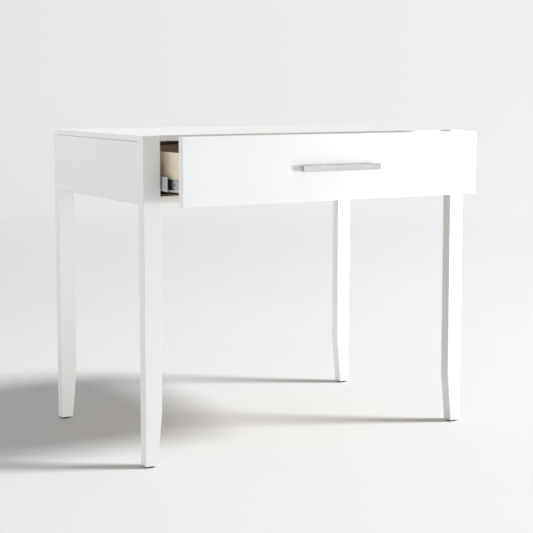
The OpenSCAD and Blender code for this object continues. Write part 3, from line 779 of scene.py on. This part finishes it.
# ------------------------------------------------------------------- slides
# Sections in millimetres: s from the cabinet side towards the drawer, z up
def slide_parts():
    bay = -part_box("leg_front_left")[1].x
    zc = sum(v.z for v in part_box("slide_cabinet_member_left")) / 2
    t = 1.2

    def member(name, node, path, body, holes, t=t, r=1.1, slots=(), edge=0.18):
        lo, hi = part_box(node)
        left = node.endswith("left")
        pts = strip([(-bay + s * MM, zc + z * MM) for s, z in path], t * MM, r * MM)
        bm = prism(pts, "Y", lo.y, hi.y)
        obj = new_object(name, bm)
        cutters = []
        for y, a, b, rr in holes:
            cutters.append(rod("X", -bay + a * MM, -bay + b * MM, rr * MM, (y, zc)))
        for y, a, b, rr, length in slots:
            cutters.append(rod("X", -bay + a * MM, -bay + b * MM, rr * MM, (y, zc), 32, length * MM))
        cut(obj, *cutters)
        if not left:
            bm = bmesh.new()
            bm.from_mesh(obj.data)
            mirrored(bm)
            bm.to_mesh(obj.data)
            bm.free()
        soften(obj, edge, 1, None, 50.0)
        return dress(obj, ZINC, "zinc_plated_steel", body, node)

    for side in ("left", "right"):
        # cabinet member: a C with lips turned in round the outer balls
        lo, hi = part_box("slide_cabinet_member_" + side)
        y = lo.y
        member("cabinet_member_%s_strip" % side, "slide_cabinet_member_" + side,
               [(8.4, 19.6), (8.4, 21.9), (0.6, 21.9), (0.6, -21.9), (8.4, -21.9), (8.4, -19.6)], "cabinet",
               [(y + d * MM, -1, 2.4, 3.8) for d in (36, 196, 388)],
               slots=[(y + d * MM, -1, 2.4, 2.2, 6) for d in (70, 260, 420)])
        # middle member
        lo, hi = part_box("slide_middle_member_" + side)
        y = lo.y
        member("middle_member_%s_strip" % side, "slide_middle_member_" + side,
               [(10.5, 16.4), (2.8, 16.4), (2.8, -16.4), (10.5, -16.4)], "middle_member_" + side,
               [], slots=[(y + d * MM, 1.6, 4.4, 5.0, 16) for d in (78, 225, 372)])
        # drawer member
        lo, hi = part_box("slide_drawer_member_" + side)
        y = lo.y
        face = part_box("drawer_front")[1].y
        member("drawer_member_%s_strip" % side, "slide_drawer_member_" + side,
               [(5.0, 12.9), (12.1, 12.9), (12.1, -12.9), (5.0, -12.9)], "drawer",
               [(face + d * MM, 11, 14, 2.6) for d in (40, 60)] + [(y + d * MM, 11, 14, 1.85) for d in (150, 290, 430)],
               slots=[(y + d * MM, 11, 14, 2.3, 5) for d in (190, 340)])
        # ball cages: bent strip, and the balls along it
        for kind, web, flange, h, br, bs, bz in (("outer", 1.4, 7.0, 19.45, 2.0, 4.6, 19.15),
                                                 ("inner", 3.6, 9.0, 14.95, 1.0, 7.5, 14.65)):
            node = "%s_ball_cage_%s" % (kind, side)
            lo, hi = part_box(node)
            length = hi.y - lo.y
            ys = [lo.y + 0.012 + i * (length - 0.024) / 5 for i in range(6)]
            ct = 0.6
            path = [(flange, h - ct / 2), (web + ct / 2, h - ct / 2), (web + ct / 2, -h + ct / 2), (flange, -h + ct / 2)]
            obj = new_object("%s_cage_%s_strip" % (kind, side),
                             prism(strip([(-bay + s * MM, zc + z * MM) for s, z in path], ct * MM, 0.7 * MM), "Y", lo.y, hi.y))
            bm = bmesh.new()
            bm.from_mesh(obj.data)
            for yy in ys:
                for m in (-1, 1):
                    ball = bmesh.ops.create_uvsphere(bm, u_segments=20, v_segments=12, radius=br * MM)
                    bmesh.ops.translate(bm, verts=ball["verts"], vec=(-bay + bs * MM, yy, zc + m * bz * MM))
            if side == "right":
                mirrored(bm)
            for f in bm.faces:
                if len(f.verts) <= 4 and f.calc_area() < (br * MM) ** 2 * 0.25:
                    f.material_index = 1
            bm.to_mesh(obj.data)
            bm.free()
            obj.data.shade_smooth()
            obj.data.set_sharp_from_angle(angle=math.radians(50))
            dress(obj, [SCREW, BALL], "screw_steel", "%s_cage_%s" % (kind, side), node)


slide_parts()


# ------------------------------------------------------------------- handle
def handle():
    lo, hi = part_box("handle_bar")
    obj = new_object("handle_bar_brushed", block(lo, hi))
    soften(obj, 1.0, 4, lambda p, q: 1.0 if not near(p.x, q.x) else 0.5)
    dress(obj, NICKEL, "satin_nickel", "drawer", "handle_bar")
    for side in ("left", "right"):
        node = "handle_post_" + side
        lo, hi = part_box(node)
        x, z, r = (lo.x + hi.x) / 2, (lo.z + hi.z) / 2, (hi.x - lo.x) / 2
        y0, y1 = hi.y, lo.y                       # drawer front, bar
        prof = [(0.0, y0), (r, y0), (r, y0 - 0.0008), (r - 0.0004, y0 - 0.0012), (r - 0.0004, y1 + 0.0008),
                (r - 0.0004, y1), (0.0, y1)]
        bm = bmesh.new()
        n = 48
        rings = []
        for rad, y in prof[1:-1]:
            rings.append([bm.verts.new((x + rad * math.cos(2 * math.pi * i / n), y, z + rad * math.sin(2 * math.pi * i / n)))
                          for i in range(n)])
        for a, b in zip(rings, rings[1:]):
            for i in range(n):
                bm.faces.new((a[i], a[(i + 1) % n], b[(i + 1) % n], b[i]))
        bm.faces.new(rings[0][::-1])
        bm.faces.new(rings[-1])
        bmesh.ops.recalc_face_normals(bm, faces=bm.faces[:])
        obj = new_object(node + "_turned", bm)
        obj.data.shade_smooth()
        obj.data.set_sharp_from_angle(angle=math.radians(35))
        dress(obj, NICKEL_POST, "satin_nickel", "drawer", node)


handle()


# ----------------------------------------- glides, fasteners and other metal
for a in ("front", "rear"):
    for b in ("left", "right"):
        node = "glide_%s_%s" % (a, b)
        dress(from_cad(node + "_moulded", node, 0.25, 2), NYLON, "glide_nylon", "cabinet", node)
dress(from_cad("top_brackets_pressed", "top_brackets", 0.25, 2), BRACKET_ZINC, "zinc_plated_steel", "cabinet", "top_brackets")
for node, body in (("bracket_screws", "cabinet"), ("spacer_screws", "cabinet"), ("rail_screws", "cabinet"),
                   ("slide_cabinet_screws", "cabinet"), ("slide_drawer_screws", "drawer"),
                   ("drawer_front_screws", "drawer"), ("handle_screws", "drawer")):
    dress(from_cad(node + "_plated", node, 0.15, 2), SCREW, "screw_steel", body, node)
for node, body in (("panel_dowels", "cabinet"), ("drawer_corner_dowels", "drawer")):
    dress(from_cad(node + "_pegs", node, 0.4, 2), DOWEL, "natural_birch", body, node)
dress(from_cad("drawer_bumper_pads", "drawer_bumpers", 0.2, 2), PAD, "bumper_clear", "drawer", "drawer_bumpers")


# ------------------------------------------------------------ floor and light
def backdrop(m, direction):
    """The studio's tone in a direction: a bright horizon, lighter to the right,
    under a dimmer ceiling."""
    across = m.vec("DOT_PRODUCT", direction, tuple(TO_RIGHT), out=1)
    rise = m.remap(m.split(direction)[2], 0.12, 0.62, 0.0, 1.0)
    wall = m.math("ADD", WALL[0], m.math("MULTIPLY", across, WALL[1]))
    wall = m.math("SUBTRACT", wall, m.remap(across, -0.95, -0.30, LEFT_WALL, 0.0))
    wall = m.math("SUBTRACT", wall, m.remap(across, 0.30, 0.95, 0.0, RIGHT_WALL))
    near_side = m.vec("DOT_PRODUCT", direction, tuple(-TO_BACK), out=1)
    wall = m.math("SUBTRACT", wall, m.remap(near_side, 0.0, 0.9, 0.0, NEAR_WALL))
    ceiling = m.math("ADD", CEILING[0], m.math("MULTIPLY", across, CEILING[1]))
    return m.math("ADD", m.math("MULTIPLY", wall, m.math("SUBTRACT", 1.0, rise)), m.math("MULTIPLY", ceiling, rise))


def floor():
    """A pale floor that melts into the backdrop's tone far from the desk: there it turns into an emitting glow, painted
    light that is lighter to the right and dimmer towards the walls, in place of a lit floor.
    """
    bm = bmesh.new()
    radii = [0.0, 1.5, 3.0, 5.0, 9.0, 18.0, 40.0, 90.0]
    n = 96
    rings = []
    for r in radii[1:]:
        rings.append([bm.verts.new((r * math.cos(2 * math.pi * i / n), r * math.sin(2 * math.pi * i / n), 0.0))
                      for i in range(n)])
    centre = bm.verts.new((0, 0, 0))
    for i in range(n):
        bm.faces.new((centre, rings[0][i], rings[0][(i + 1) % n]))
    for a, b in zip(rings, rings[1:]):
        for i in range(n):
            bm.faces.new((a[i], b[i], b[(i + 1) % n], a[(i + 1) % n]))
    obj = new_object("studio_floor", bm)
    m = Net("studio_floor")
    p = m.coords()
    r = m.vec("LENGTH", p, out=1)
    far = m.remap(r, FLOOR_NEAR, FLOOR_FAR, 0.0, 1.0)
    tone = backdrop(m, m.vec("NORMALIZE", p))
    cloud = m.noise(p, 2.0, 3.0, 0.5)
    speck = m.noise(p, 900.0, 2.0, 0.5)
    albedo = m.math("ADD", m.remap(cloud, 0.3, 0.7, FLOOR_ALBEDO - 0.006, FLOOR_ALBEDO + 0.006),
                    m.remap(speck, 0.3, 0.7, -0.004, 0.004))
    colour = m.join(albedo, albedo, albedo)
    diffuse = m.node("ShaderNodeBsdfDiffuse", Color=colour)
    # emission in the backdrop's tone: painted light standing in for the lit floor far from the desk
    painted_backdrop_glow = m.node("ShaderNodeEmission", Color=(1.0, 1.0, 1.0, 1.0), Strength=tone)
    mix = m.node("ShaderNodeMixShader", i0=far, i1=diffuse.outputs[0], i2=painted_backdrop_glow.outputs[0])
    clear = m.node("ShaderNodeBsdfTransparent")
    back = m.node("ShaderNodeNewGeometry").outputs["Backfacing"]
    mix = m.node("ShaderNodeMixShader", i0=back, i1=mix.outputs[0], i2=clear.outputs[0])
    m.node("ShaderNodeOutputMaterial", Surface=mix.outputs[0])
    obj.data.materials.append(m.mat)


def world():
    m = Net("studio_world", world=True)
    d = m.node("ShaderNodeTexCoord").outputs["Generated"]
    tone = backdrop(m, d)
    bg = m.node("ShaderNodeBackground", Color=(1.0, 1.0, 1.0, 1.0), Strength=tone)
    m.node("ShaderNodeOutputWorld", Surface=bg.outputs[0])
    scene.world = m.mat


def area(name, towards, distance, size, watts, aim=(0.0, 0.0, 0.45), colour=(1, 1, 1), shape="DISK"):
    data = bpy.data.lights.new(name, "AREA")
    data.shape, data.size, data.energy, data.color = shape, size, watts, colour
    obj = bpy.data.objects.new(name, data)
    scene.collection.objects.link(obj)
    d = Vector(towards).normalized()
    obj.location = Vector(aim) + d * distance
    obj.rotation_mode = "QUATERNION"
    obj.rotation_quaternion = d.to_track_quat("Z", "Y")
    return obj


def only(lamp, floor_only, flagged=()):
    """Let a lamp light just the floor, or everything but the floor, and keep
    its glare off the named pieces."""
    col = bpy.data.collections.new("lit_by_" + lamp.name)
    for name in ("studio_floor", *flagged):
        col.objects.link(bpy.data.objects[name])
    lamp.light_linking.receiver_collection = col
    if not floor_only:
        for member in col.collection_objects:
            member.light_linking.link_state = "EXCLUDE"


def towards(turn, rise):
    """A direction turned from the picture's right towards the camera, and raised."""
    turn, rise = math.radians(turn), math.radians(rise)
    flat = TO_RIGHT * math.cos(turn) - TO_BACK * math.sin(turn)
    return flat * math.cos(rise) + Vector((0, 0, math.sin(rise)))


FLOOR_NEAR, FLOOR_FAR = 1.4, 6.0
FLOOR_ALBEDO = 0.62
WALL, CEILING = (0.830, 0.19), (0.55, 0.00)
LEFT_WALL, RIGHT_WALL, NEAR_WALL = 0.24, 0.28, 0.26
floor()
world()
HANDLE = (0.0, -0.35, 0.68)
only(area("key_floor", towards(1.2, 42), 12.0, 2.60, 1850.0), True)
only(area("low_right", towards(12, -3.5), 4.5, 0.85, 108.0, HANDLE), False, ["handle_bar_brushed"])
only(area("front_right", towards(31, -3), 3.6, 1.20, 3.3, HANDLE), False)
only(area("upper_left", towards(172, 40), 3.6, 1.80, 60.0), False)
only(area("overhead", towards(12, 66), 3.6, 1.80, 42.0), False)
